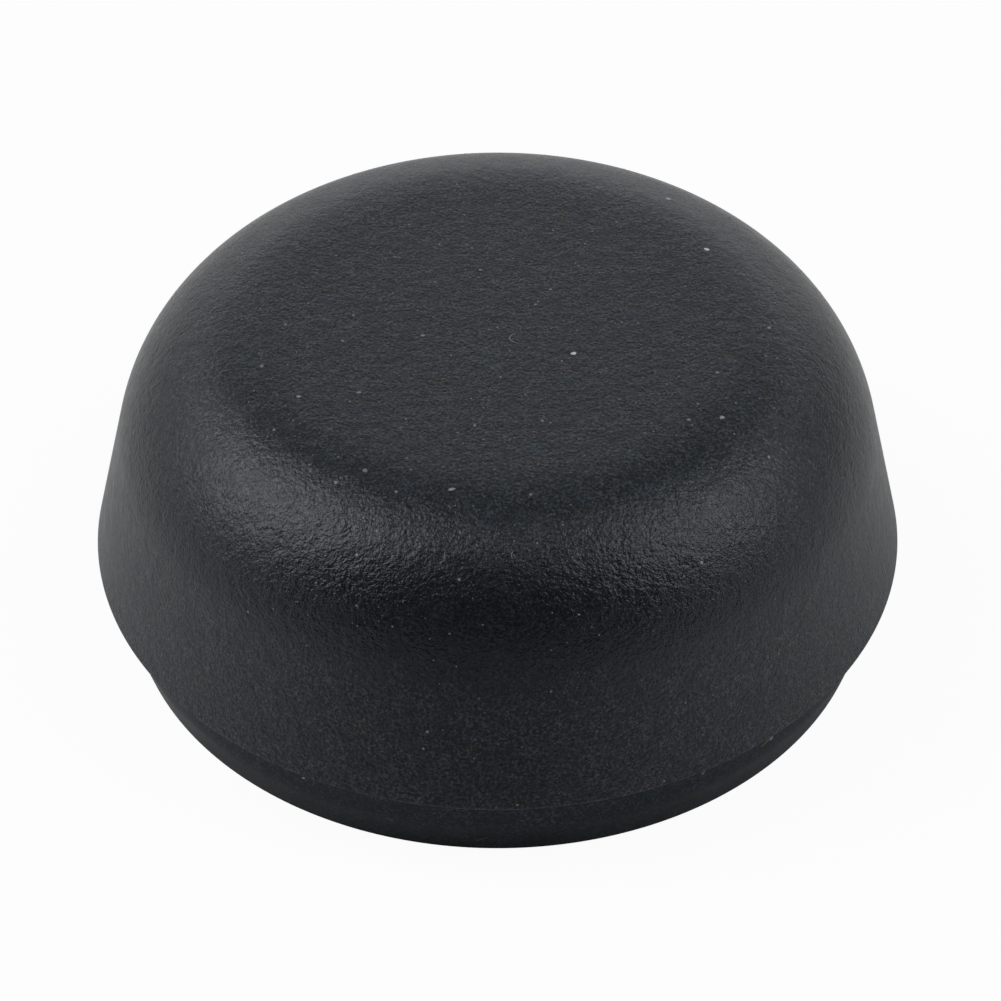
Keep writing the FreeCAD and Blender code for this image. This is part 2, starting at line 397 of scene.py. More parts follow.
grainGroup = makeGrainGroup()
filmGroup = makeFilmGroup(plastic["filmLook"])
grainedPlastic = makeGrainedPlastic(plastic, grainGroup, filmGroup)
smoothPlastic = makeSmoothPlastic(plastic, grainGroup, filmGroup)
print("finishes made:", grainedPlastic.name, "and", smoothPlastic.name)


# The cap, turned from its section by Geometry Nodes

capShape = {
    "footDiameter": 25.0 * mm,  # across the foot of the skirt
    "height": 10.69 * mm,  # 0.01 under the solid's, where the dust on top needs room
    "skirtLean": 12.2,  # degrees
    "shoulderRadius": 5.3 * mm,
    "crownRadius": 3.9 * mm,
    "crownArc": 40.0,  # degrees
    "crownEase": 1.1 * mm,  # the bend sets in over this much on each side of the flat's edge
    "seatHeight": 2.65 * mm,
    "seatWidth": 0.6 * mm,
    "landLength": 1.3 * mm,
    "spigotTaper": 0.4 * mm,
    "wall": 1.5 * mm,
    "coreLean": 2.0,  # degrees
    "ribCount": 6,
    "ribWidth": 0.9 * mm,
    "ribDepth": 0.8 * mm,
    "mouthChamfer": 0.3 * mm,
    "leadIn": 1.6 * mm,
    "rimChamfer": 0.06 * mm,
    "footChamfer": 0.06 * mm,
    "gateDiameter": 1.8 * mm,
    "gateHeight": 0.3 * mm,
    "columnsPerRib": 44,  # of the mesh, in each rib's share of the turn
    "crestColumns": 4,
    "rows": {  # of the mesh, along the section
        "flat": 10,
        "flatEdge": 8,
        "crown": 22,
        "shoulder": 24,
        "skirt": 18,
        "ledge": 2,
        "land": 4,
        "taper": 4,
        "rim": 2,
        "flare": 3,
        "side": 10,
        "innerShoulder": 12,
        "innerCrown": 10,
        "roofEdge": 4,
        "roof": 6,
        "gate": 2,
    },
    "cornerAngle": 25.0,  # degrees, over which an edge is drawn sharp
    "mergeDistance": 0.0001 * mm,
}


def steps(start, end, count):
    # Points after start, up to and with end
    return [tuple(a + (b - a) * k / count for a, b in zip(start, end)) for k in range(1, count + 1)]


def arcSteps(centre, radius, startAngle, endAngle, count):
    rows = []
    for k in range(1, count + 1):
        angle = math.radians(startAngle + (endAngle - startAngle) * k / count)
        rows.append((centre[0] + radius * math.cos(angle), centre[1] + radius * math.sin(angle)))
    return rows


def offsetAlong(start, end, distance):
    length = math.dist(start, end)
    return tuple(a + (b - a) * distance / length for a, b in zip(start, end))


def easeBend(row, edge, reach, radius):
    # Lowers a row of the outside a little where the bend sets in, so that it tightens evenly,
    # and fades out further down
    along = (row[0] - edge) / reach
    fadeLength = 2.5  # times the reach
    if along <= 1:
        lower = max(1 + along, 0) ** 3 / 12 - max(along, 0) ** 2 / 2
    else:
        lower = (1 + math.cos(math.pi * min((along - 1) / fadeLength, 1))) / 12
    return row[0], row[1] - lower * reach ** 2 / radius


def capSection(shape):
    # Rows of (radius, height) from the middle of the top round to the middle of the roof.
    # The second list is the same rows where a rib stands in the hollow
    counts = shape["rows"]
    foot = shape["footDiameter"] / 2
    land = foot - shape["seatWidth"]
    rim = land - shape["spigotTaper"]
    seat = shape["seatHeight"]
    lean = math.radians(shape["skirtLean"])
    coreLean = math.radians(shape["coreLean"])
    turn = math.radians(shape["crownArc"])
    bendJoin = 90 - shape["crownArc"]

    # Centres of the two bends
    radiusDrop = shape["shoulderRadius"] - shape["crownRadius"]
    crownHeight = shape["height"] - shape["crownRadius"]
    shoulderHeight = crownHeight - radiusDrop * math.cos(turn)
    skirtTop = shoulderHeight + shape["shoulderRadius"] * math.sin(lean)
    skirtTopRadius = foot - (skirtTop - seat) * math.tan(lean)
    shoulderReach = skirtTopRadius - shape["shoulderRadius"] * math.cos(lean)
    flat = shoulderReach + radiusDrop * math.sin(turn)
    crownCentre = (flat, crownHeight)
    shoulderCentre = (shoulderReach, shoulderHeight)

    # The outside, down to the mouth
    rows = [(0, shape["height"])]
    rows += steps(rows[-1], (flat - shape["crownEase"], shape["height"]), counts["flat"])
    rows += steps(rows[-1], (flat, shape["height"]), counts["flatEdge"])
    rows += arcSteps(crownCentre, shape["crownRadius"], 90, bendJoin, counts["crown"])
    rows += arcSteps(shoulderCentre, shape["shoulderRadius"], bendJoin, shape["skirtLean"],
                     counts["shoulder"])
    rows = [easeBend(row, flat, shape["crownEase"], shape["crownRadius"]) for row in rows]
    skirtFoot = offsetAlong((foot, seat), (skirtTopRadius, skirtTop), shape["footChamfer"])
    rows += steps(rows[-1], skirtFoot, counts["skirt"])
    rows += [(foot - shape["footChamfer"], seat)]
    grainedRows = len(rows)
    rows += steps(rows[-1], (land, seat), counts["ledge"])
    rows += steps(rows[-1], (land, seat - shape["landLength"]), counts["land"])
    rimTop = offsetAlong((rim, 0), rows[-1], shape["rimChamfer"])
    rows += steps(rows[-1], rimTop, counts["taper"])
    rows += [(rim - shape["rimChamfer"], 0)]

    # The hollow's side between the ribs, and the ribs' crests
    bend = shape["shoulderRadius"] - shape["wall"]
    roof = shape["height"] - shape["wall"]
    across, upwards = bend * math.cos(coreLean), bend * math.sin(coreLean)
    sideTop = (shoulderReach + across, shoulderHeight + upwards)
    mouth = sideTop[0] + sideTop[1] * math.tan(coreLean)
    flare = (mouth + shape["mouthChamfer"], 0)
    crestMouth = mouth - shape["ribDepth"] / math.cos(coreLean)
    leadTop = (crestMouth - shape["leadIn"] * math.tan(coreLean), shape["leadIn"])
    runOutHeight = roof - bend
    runOutReach = crestMouth - runOutHeight * math.tan(coreLean) - bend / math.cos(coreLean)
    runOut = (runOutReach, runOutHeight)
    crestTop = (runOutReach + across, runOutHeight + upwards)
    rows += steps(rows[-1], flare, counts["rim"])

    # The flare meets the hollow's side where both are as far from the axis
    flareSlope = (flare[0] - leadTop[0]) / leadTop[1]
    meetHeight = shape["mouthChamfer"] / (flareSlope - math.tan(coreLean))
    meet = (mouth - meetHeight * math.tan(coreLean), meetHeight)
    ribRows = list(rows)
    rows += steps(flare, meet, counts["flare"])
    rows += steps(meet, sideTop, counts["side"])
    ribRows += steps(flare, leadTop, counts["flare"])
    ribRows += steps(leadTop, crestTop, counts["side"])
    innerCrown = shape["crownRadius"] - shape["wall"]
    rows += arcSteps(shoulderCentre, bend, shape["coreLean"], bendJoin, counts["innerShoulder"])
    rows += arcSteps(crownCentre, innerCrown, bendJoin, 90, counts["innerCrown"])
    rows += steps((flat, roof), (runOutReach, roof), counts["roofEdge"])
    ribBend = counts["innerShoulder"] + counts["innerCrown"] + counts["roofEdge"]
    ribRows += arcSteps(runOut, bend, shape["coreLean"], 90, ribBend)

    # The roof and the stub of the gate
    gate = shape["gateDiameter"] / 2
    gateFoot = roof - shape["gateHeight"]
    middle = steps(rows[-1], (gate, roof), counts["roof"]) + [(gate, gateFoot)]
    middle += steps((gate, gateFoot), (0, gateFoot), counts["gate"])
    return rows + middle, ribRows + middle, grainedRows, leadTop[0]


def makeSectionMesh(rows, ribRows, grainedRows):
    mesh = bpy.data.meshes.new("capSection")
    mesh.from_pydata([(r, 0, z) for r, z in rows], [(k, k + 1) for k in range(len(rows) - 1)], [])
    ribPlaces = [v for r, z in ribRows for v in (r, 0, z)]
    grained = [float(k < grainedRows) for k in range(len(rows))]
    mesh.attributes.new("ribPlace", "FLOAT_VECTOR", "POINT")
    mesh.attributes.new("grained", "FLOAT", "POINT")
    mesh.attributes["ribPlace"].data.foreach_set("vector", ribPlaces)
    mesh.attributes["grained"].data.foreach_set("value", grained)
    return mesh


def makeTurningTree():
    inputs = {
        "Section": "Geometry",
        "Rib Count": "Int",
        "Columns per Rib": "Int",
        "Crest Columns": "Int",
        "Rib Width": "Float",
        "Crest Radius": "Float",
        "Corner Angle": "Float",
        "Merge Distance": "Float",
        "Grained Finish": "Material",
        "Smooth Finish": "Material",
    }
    tree, start, end = newTree("turnedCap", "GeometryNodeTree", inputs, {"Geometry": "Geometry"})
    counted = addNode(tree, "GeometryNodeAttributeDomainSize", {"Geometry": start["Section"]})
    rowCount = counted.outputs[0]
    columns = calc(tree, "MULTIPLY", start["Rib Count"], start["Columns per Rib"])
    columns = calc(tree, "ADD", columns, 1)  # the last lies on the first, and is merged with it
    grid = addNode(tree, "GeometryNodeMeshGrid", {"Vertices X": columns, "Vertices Y": rowCount})

    # Each point's row and column, and the column's place in its share of the turn
    index = addNode(tree, "GeometryNodeInputIndex").outputs[0]
    column = calc(tree, "FLOOR", calc(tree, "DIVIDE", index, rowCount))
    row = calc(tree, "SUBTRACT", index, calc(tree, "MULTIPLY", column, rowCount))
    share = calc(tree, "FLOOR", calc(tree, "DIVIDE", column, start["Columns per Rib"]))
    place = calc(tree, "SUBTRACT", column, calc(tree, "MULTIPLY", share, start["Columns per Rib"]))
    onCrest = calc(tree, "LESS_THAN", place, calc(tree, "SUBTRACT", start["Crest Columns"], 0.5))

    # A rib's crest takes its own width, and the bay after it the rest of the share
    shareAngle = calc(tree, "DIVIDE", 2 * math.pi, start["Rib Count"])
    halfWidth = calc(tree, "DIVIDE", start["Rib Width"], 2)
    halfRib = calc(tree, "ARCSINE", calc(tree, "DIVIDE", halfWidth, start["Crest Radius"]))
    lastCrest = calc(tree, "SUBTRACT", start["Crest Columns"], 1)
    lastPlace = calc(tree, "SUBTRACT", start["Columns per Rib"], 1)
    crestAngle = remap(tree, place, 0, lastCrest, calc(tree, "MULTIPLY", halfRib, -1), halfRib)
    bayEnd = calc(tree, "SUBTRACT", shareAngle, halfRib)
    bayAngle = remap(tree, place, start["Crest Columns"], lastPlace, halfRib, bayEnd)
    within = addNode(tree, "GeometryNodeSwitch", {
        "Switch": onCrest,
        "False": bayAngle,
        "True": crestAngle,
    }, input_type="FLOAT").outputs[0]
    firstRib = calc(tree, "DIVIDE", shareAngle, 2)
    shareStart = calc(tree, "MULTIPLY", share, shareAngle)
    angle = calc(tree, "ADD", calc(tree, "ADD", shareStart, within), firstRib)

    def sample(dataType, value):
        node = addNode(tree, "GeometryNodeSampleIndex", {
            "Geometry": start["Section"],
            "Index": row,
        }, data_type=dataType, domain="POINT")
        tree.links.new(value, node.inputs["Value"])
        return node.outputs["Value"]

    def named(dataType, name):
        node = addNode(tree, "GeometryNodeInputNamedAttribute", {"Name": name}, data_type=dataType)
        return node.outputs["Attribute"]

    bayPlace = sample("FLOAT_VECTOR", addNode(tree, "GeometryNodeInputPosition").outputs[0])
    crestPlace = sample("FLOAT_VECTOR", named("FLOAT_VECTOR", "ribPlace"))
    profile = addNode(tree, "GeometryNodeSwitch", {
        "Switch": onCrest,
        "False": bayPlace,
        "True": crestPlace,
    }, input_type="VECTOR").outputs[0]
    turned = addNode(tree, "ShaderNodeVectorRotate", {"Vector": profile, "Angle": angle},
                     rotation_type="Z_AXIS")
    placed = addNode(tree, "GeometryNodeSetPosition", {
        "Geometry": grid.outputs["Mesh"],
        "Position": turned.outputs[0],
    })
    marked = addNode(tree, "GeometryNodeStoreNamedAttribute", {
        "Geometry": placed.outputs[0],
        "Name": "grained",
        "Value": sample("FLOAT", named("FLOAT", "grained")),
    }, data_type="FLOAT", domain="POINT")
    closed = addNode(tree, "GeometryNodeMergeByDistance", {
        "Geometry": marked.outputs[0],
        "Distance": start["Merge Distance"],
    })
    outward = addNode(tree, "GeometryNodeFlipFaces", {"Mesh": closed.outputs[0]})

    # Smooth shading, apart from the real corners
    rounded = addNode(tree, "GeometryNodeSetShadeSmooth", {
        "Geometry": outward.outputs[0],
        "Shade Smooth": True,
    }, domain="FACE")
    bendAngle = addNode(tree, "GeometryNodeInputMeshEdgeAngle").outputs["Unsigned Angle"]
    corner = calc(tree, "GREATER_THAN", bendAngle, start["Corner Angle"])
    edged = addNode(tree, "GeometryNodeSetShadeSmooth", {
        "Geometry": rounded.outputs[0],
        "Selection": corner,
        "Shade Smooth": False,
    }, domain="EDGE")

    real = addNode(tree, "GeometryNodeRealizeInstances", {"Geometry": edged.outputs[0]})
    finished = addNode(tree, "GeometryNodeSetMaterial", {
        "Geometry": real.outputs[0],
        "Material": start["Smooth Finish"],
    })
    allGrained = calc(tree, "GREATER_THAN", named("FLOAT", "grained"), 0.99)
    painted = addNode(tree, "GeometryNodeSetMaterial", {
        "Geometry": finished.outputs[0],
        "Selection": allGrained,
        "Material": start["Grained Finish"],
    })
    tree.links.new(painted.outputs[0], end["Geometry"])
    return tree


def makeCap(shape):
    rows, ribRows, grainedRows, crestRadius = capSection(shape)
    section = makeSectionMesh(rows, ribRows, grainedRows)
    cap = growMesh("mouldedCap", section, makeTurningTree(), {
        "Rib Count": shape["ribCount"],
        "Columns per Rib": shape["columnsPerRib"],
        "Crest Columns": shape["crestColumns"],
        "Rib Width": shape["ribWidth"],
        "Crest Radius": crestRadius,
        "Corner Angle": math.radians(shape["cornerAngle"]),
        "Merge Distance": shape["mergeDistance"],
        "Grained Finish": grainedPlastic,
        "Smooth Finish": smoothPlastic,
    })
    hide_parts("wiper_arm_cap")
    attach(cap, "root")
    return cap


cap = makeCap(capShape)
print("cap turned:", len(cap.data.polygons), "faces")


# Dust, flakes and fibres lying on the cap

dust = {
    "flakesPerSquareMetre": 1.7e6,
    "steepness": (0.25, 0.85),  # how far up a face looks where few of them stay, and where all do
    "wallShare": 0.15,  # of them that stay where the cap stands steep
    "smallest": 0.022 * mm,  # radii
    "largest": 0.055 * mm,
    "palest": 0.25,
    "thickness": 0.008 * mm,
    "slimmest": 0.5,  # width to length
    "roughness": (0.95, 0.8),  # of dull and of pale dust
    "unevenPerMetre": 22000.0,
    "unevenShare": 0.75,
    "seed": 4,
    "dull": (0.12, 0.13, 0.13, 1),
    "pale": (0.60, 0.63, 0.66, 1),
    "warm": (0.30, 0.23, 0.12, 1),
}


def makeDustMaterial(choice):
    # Each flake's own paleness and warmth, with a little unevenness over it
    material, tree, shader = newMaterial("settledDust")
    place = addNode(tree, "ShaderNodeTexCoord").outputs["Object"]
    paleness = addNode(tree, "ShaderNodeAttribute", attribute_name="paleness").outputs["Fac"]
    warmth = addNode(tree, "ShaderNodeAttribute", attribute_name="warmth").outputs["Fac"]
    uneven = addNode(tree, "ShaderNodeTexNoise", {
        "Vector": place,
        "Scale": choice["unevenPerMetre"],
        "Detail": 1.0,
    })
    share = calc(tree, "MULTIPLY", blendByNoise(tree, uneven, choice["unevenShare"], 1), paleness)
    colour = blendColours(tree, share, choice["dull"], choice["pale"])
    wire(tree, blendColours(tree, warmth, colour, choice["warm"]), shader.inputs["Base Color"])
    wire(tree, blend(tree, share, *choice["roughness"]), shader.inputs["Roughness"])
    return material


def makeDustTree():
    inputs = {
        "Surface": "Geometry",
        "Density": "Float",
        "Wall Share": "Float",
        "Steep": "Float",
        "Level": "Float",
        "Smallest": "Float",
        "Largest": "Float",
        "Slimmest": "Float",
        "Thickness": "Float",
        "Palest": "Float",
        "Seed": "Int",
        "Finish": "Material",
    }
    outputs = {"Geometry": "Geometry"}
    tree, start, end = newTree("scatteredDust", "GeometryNodeTree", inputs, outputs)

    def chance(seed):
        node = addNode(tree, "FunctionNodeRandomValue", {"Seed": seed}, data_type="FLOAT")
        return node.outputs[1]

    grained = addNode(tree, "GeometryNodeInputNamedAttribute", {
        "Name": "grained",
    }, data_type="FLOAT").outputs["Attribute"]
    normal = addNode(tree, "GeometryNodeInputNormal").outputs[0]
    upward = addNode(tree, "ShaderNodeSeparateXYZ", {0: normal}).outputs["Z"]
    settled = remap(tree, upward, start["Steep"], start["Level"], start["Wall Share"], 1)
    scattered = addNode(tree, "GeometryNodeDistributePointsOnFaces", {
        "Mesh": start["Surface"],
        "Selection": calc(tree, "GREATER_THAN", grained, 0.99),
        "Density": calc(tree, "MULTIPLY", start["Density"], settled),
        "Seed": start["Seed"],
    })
    toned = addNode(tree, "GeometryNodeStoreNamedAttribute", {
        "Geometry": scattered.outputs["Points"],
        "Name": "paleness",
        "Value": calc(tree, "MULTIPLY", calc(tree, "POWER", chance(3), 2), start["Palest"]),
    }, data_type="FLOAT", domain="POINT")
    flake = addNode(tree, "GeometryNodeMeshIcoSphere", {"Radius": 1.0, "Subdivisions": 1})
    length = blend(tree, calc(tree, "POWER", chance(0), 3), start["Smallest"], start["Largest"])
    width = calc(tree, "MULTIPLY", length, blend(tree, chance(1), start["Slimmest"], 1))
    size = addNode(tree, "ShaderNodeCombineXYZ", {0: length, 1: width, 2: start["Thickness"]})
    heading = calc(tree, "MULTIPLY", chance(2), 2 * math.pi)
    turn = addNode(tree, "ShaderNodeCombineXYZ", {2: heading})
    lying = addNode(tree, "FunctionNodeRotateRotation", {
        "Rotation": scattered.outputs["Rotation"],
        "Rotate By": turn.outputs[0],
    }, rotation_space="LOCAL")
    flakes = addNode(tree, "GeometryNodeInstanceOnPoints", {
        "Points": toned.outputs["Geometry"],
        "Instance": flake.outputs["Mesh"],
        "Rotation": lying.outputs[0],
        "Scale": size.outputs[0],
    })
    real = addNode(tree, "GeometryNodeRealizeInstances", {"Geometry": flakes.outputs[0]})
    finished = addNode(tree, "GeometryNodeSetMaterial", {
        "Geometry": real.outputs[0],
        "Material": start["Finish"],
    })
    tree.links.new(finished.outputs[0], end["Geometry"])
    return tree


def makeDust(choice):
    scattered = growMesh("scatteredDust", cap.data.copy(), makeDustTree(), {
        "Density": choice["flakesPerSquareMetre"],
        "Wall Share": choice["wallShare"],
        "Steep": choice["steepness"][0],
        "Level": choice["steepness"][1],
        "Smallest": choice["smallest"],
        "Largest": choice["largest"],
        "Slimmest": choice["slimmest"],
        "Thickness": choice["thickness"],
        "Palest": choice["palest"],
        "Seed": choice["seed"],
        "Finish": settledDust,
    })
    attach(scattered, "root")
    return scattered


# The flakes and fibres that stand out. Places are in mm, and settle on the nearest point of the cap

crumbs = {
    "thickness": 0.009 * mm,
    "corners": 9,  # of a flake
    "uneven": (0.7, 1.1),  # shares of its size that a corner may stand out
    "innerRing": 0.55,  # share of a flake's size
    "edgeRise": 0.3,  # share of the thickness by which a flake's edge stands over the cap
    "innerRise": 0.55,  # added further in
    "topRise": 0.9,
    "fibreRise": 0.45,
    "fibreTaper": 0.6,  # how much thinner a fibre is at its ends
    "fibreSteps": 12,
    "seed": 7,
    # Place, length and width in mm, turn in degrees, paleness, warmth
    "flakes": [
        ((2.27, -1.36, 10.69), 0.21, 0.16, 10, 1, 0),
        ((6.42, 3.69, 10.69), 0.19, 0.16, 0, 1, 0),
        ((6.59, -4.21, 10.66), 0.17, 0.15, 30, 0.43, 0),
        ((-1.31, -7.42, 10.68), 0.24, 0.13, 20, 0.29, 0),
        ((-5.85, -3.34, 10.69), 0.15, 0.10, 0, 0.44, 0),
        ((7.95, -5.26, 10.02), 0.12, 0.10, 80, 0.28, 0),
        ((5.87, -8.76, 9.03), 0.11, 0.11, 0, 0.4, 0),
        ((0.96, -7.63, 10.67), 0.11, 0.10, 0, 0.09, 0),
        ((5.59, -4.38, 10.69), 0.14, 0.10, 0, 0.2, 0),
        ((-6.53, -4.71, 10.62), 0.11, 0.10, 0, 0.23, 0),
        ((-2.24, -0.52, 10.69), 0.15, 0.10, 0, 0.18, 0),
        ((6.52, -2.24, 10.69), 0.14, 0.12, 0, 0.18, 0),
        ((-2.01, -11.77, 5.19), 0.11, 0.09, 90, 0.16, 0),
        ((8.18, 0.02, 10.60), 0.16, 0.12, 40, 0.21, 0),
        ((-4.66, -6.96, 10.54), 0.15, 0.14, 60, 0.19, 0),
        ((-4.09, -3.16, 10.69), 0.16, 0.12, 15, 0.15, 0.1),
        ((8.20, -8.65, 1.79), 0.18, 0.14, 20, 0.44, 0.35),
        ((-3.83, -6.59, 10.68), 0.16, 0.16, 70, 0.08, 0),
        ((-4.33, 0.43, 10.69), 0.10, 0.09, 0, 0.15, 0),
        ((-3.45, -8.63, 10.16), 0.11, 0.08, 80, 0.19, 0),
        ((5.34, 6.45, 10.54), 0.19, 0.14, 0, 0.59, 0),
        ((-5.73, -10.42, 1.93), 0.15, 0.09, 30, 0.35, 0.1),
        ((1.15, 0.96, 10.69), 0.11, 0.10, 0, 0.14, 0),
        ((1.61, 1.68, 10.69), 0.11, 0.10, 0, 0.11, 0),
        ((-2.13, -11.88, 4.61), 0.10, 0.08, 0, 0.12, 0),
        ((-4.01, -10.08, 8.58), 0.08, 0.08, 0, 0.03, 0),
        ((-7.00, -1.92, 10.69), 0.17, 0.14, 70, 0.11, 0),
        ((6.09, -10.24, 1.92), 0.15, 0.10, 40, 0.11, 0),
        ((4.87, -11.47, 2.85), 0.10, 0.08, 0, 0.05, 0),
    ],
    # Start, middle and end, width in mm, paleness, warmth
    "fibres": [
        ((0.55, -0.40, 10.69), (0.36, -0.66, 10.69), (0.62, -0.90, 10.69), 0.034, 0.16, 0.0),
        ((-1.12, -1.43, 10.69), (-0.94, -1.30, 10.69), (-0.70, -1.29, 10.69), 0.018, 0.08, 0.0),
        ((-4.97, -4.90, 10.69), (-4.88, -4.81, 10.69), (-4.79, -4.90, 10.69), 0.020, 0.14, 0.0),
        ((0.45, -9.41, 10.07), (0.40, -9.51, 10.01), (0.45, -9.60, 9.94), 0.026, 0.12, 0.0),
        ((7.08, -9.64, 5.15), (7.02, -9.75, 4.89), (6.97, -9.85, 4.66), 0.022, 0.05, 0.0),
        ((-0.63, -11.70, 0.50), (-0.46, -11.72, 0.61), (-0.28, -11.74, 0.72), 0.022, 0.0, 0.3),
        ((8.24, -8.60, 1.84), (8.05, -8.78, 1.78), (7.85, -8.96, 1.72), 0.034, 0.1, 0.5),
        ((-1.30, -12.41, 2.69), (-1.00, -12.44, 2.71), (-0.70, -12.46, 2.68), 0.024, 0.0, 0.0),
        ((-0.70, -12.46, 2.68), (-0.32, -12.47, 2.70), (0.10, -12.48, 2.68), 0.050, 0.0, 0.0),
        ((0.10, -12.48, 2.69), (0.40, -12.47, 2.71), (1.00, -12.44, 2.69), 0.024, 0.0, 0.0),
    ],
}


def makeCrumbs(choice):
    surface = BVHTree.FromObject(cap, bpy.context.evaluated_depsgraph_get())
    spread = random.Random(choice["seed"])
    rise = choice["thickness"]
    vertices, faces, paleness, warmth = [], [], [], []

    def settle(place):
        return surface.find_nearest(Vector(place) * mm)[:2]

    def addRings(rings, first, last, pale, warm):
        # Closes a run of rings with a point at each end
        base, count = len(vertices), len(rings[0])
        vertices.extend([first, *(point for ring in rings for point in ring), last])
        for k in range(count):
            after = (k + 1) % count
            faces.append((base, base + 1 + after, base + 1 + k))
            for row in range(len(rings) - 1):
                low, high = base + 1 + row * count, base + 1 + (row + 1) * count
                faces.append((low + k, low + after, high + after, high + k))
            end = base + 1 + (len(rings) - 1) * count
            faces.append((end + k, end + after, len(vertices) - 1))
        paleness.extend([pale] * (len(vertices) - base))
        warmth.extend([warm] * (len(vertices) - base))

    for place, length, width, turn, pale, warm in choice["flakes"]:
        middle, normal = settle(place)
        along = Vector((1, 0, 0)) - normal * normal.x
        along.rotate(Quaternion(normal, math.radians(turn)))
        along.normalize()
        across = normal.cross(along)
        outline = []
        for k in range(choice["corners"]):
            angle = 2 * math.pi * k / choice["corners"]
            reach = spread.uniform(*choice["uneven"]) * mm / 2
            outline.append(middle + along * (math.cos(angle) * length * reach)
                           + across * (math.sin(angle) * width * reach)
                           + normal * (choice["edgeRise"] * rise))
        lift = normal * (choice["innerRise"] * rise)
        inner = [middle.lerp(point, choice["innerRing"]) + lift for point in outline]
        bottom, top = middle - normal * rise, middle + normal * (choice["topRise"] * rise)
        addRings([outline, inner], bottom, top, pale, warm)

    for start, centre, end, width, pale, warm in choice["fibres"]:
        start, centre, end = Vector(start), Vector(centre), Vector(end)
        pull = centre * 2 - (start + end) / 2
        count = choice["fibreSteps"]
        spots = []
        for k in range(count + 1):
            share = k / count
            spots.append(settle(start.lerp(pull, share).lerp(pull.lerp(end, share), share)))
        rings = []
        for k, (spot, normal) in enumerate(spots):
            heading = spots[min(k + 1, count)][0] - spots[max(k - 1, 0)][0]
            taper = 1 - choice["fibreTaper"] * abs(2 * k / count - 1) ** 3
            side = normal.cross(heading.normalized()) * (width * mm / 2) * taper
            lift = normal * (choice["fibreRise"] * rise)
            core = spot + lift
            rings.append([core - side, core - lift, core + side, core + lift])
        addRings(rings, spots[0][0], spots[-1][0], pale, warm)

    mesh = bpy.data.meshes.new("crumbs")
    mesh.from_pydata([tuple(v) for v in vertices], [], faces)
    for name, values in (("paleness", paleness), ("warmth", warmth)):
        mesh.attributes.new(name, "FLOAT", "POINT")
        mesh.attributes[name].data.foreach_set("value", values)
    shape = bmesh.new()
    shape.from_mesh(mesh)
    bmesh.ops.recalc_face_normals(shape, faces=shape.faces)
    shape.to_mesh(mesh)
    shape.free()
    mesh.materials.append(settledDust)
    crumbPiece = newObject("crumbs", mesh)
    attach(crumbPiece, "root")
    return crumbPiece


settledDust = makeDustMaterial(dust)
scattered = makeDust(dust)
crumbPiece = makeCrumbs(crumbs)
print("dust laid:", len(scattered.data.polygons), "faces")
print("crumbs laid:", len(crumbPiece.data.polygons), "faces")


# Floor, lights and surroundings

studio = {
    "floorSize": 3.0,
    "floorCorners": 128,
    "floorOpening": 22.9 * mm,  # under the rim, so that the hollow can be looked into from below
    "floorColour": (0.88, 0.88, 0.88, 1),
    "shadedFloor": (0.149, 0.149, 0.149, 1),  # under the camera, where only gloss shows it
    "shadePlace": (-1 * mm, -28.1 * mm, 0),
    "shadeReach": (4.8 * mm, 25.3 * mm),
    "floorGlow": 0.95,
    "ambient": 0.13,
    "belowFloor": 1.4,  # reaches the hollow through the floor's opening
    # What gloss sees of the room, from the camera's side to the backdrop, and above the backdrop
    "room": [(0.20, 0.02), (0.45, 0.37), (0.75, 0.16), (0.95, 1.17)],
    "ceiling": 0.21,
    "backdropEdge": 33,  # degrees
    "backdropBlur": 0.677,
    # Angles in degrees: azimuth 0 is behind the cap as the camera sees it, and 90 to the right
    "softboxes": {
        "leftSoftbox": {
            "azimuth": -87,
            "elevation": 45.1,
            "distance": 0.3,
            "wide": 0.18,
            "tall": 0.27,
            "watts": 0.516,
        },
        "rightSoftbox": {
            "azimuth": 99.1,
            "elevation": 43.5,
            "distance": 0.3,
            "wide": 0.168,
            "tall": 0.251,
            "watts": 0.333,
        },
    },
}


def lightPath(tree):
    # Whether a ray comes from the camera, and whether it comes from gloss or glass
    path = addNode(tree, "ShaderNodeLightPath").outputs
    fromGloss = calc(tree, "MAXIMUM", path["Is Glossy Ray"], path["Is Transmission Ray"])
    return path["Is Camera Ray"], fromGloss


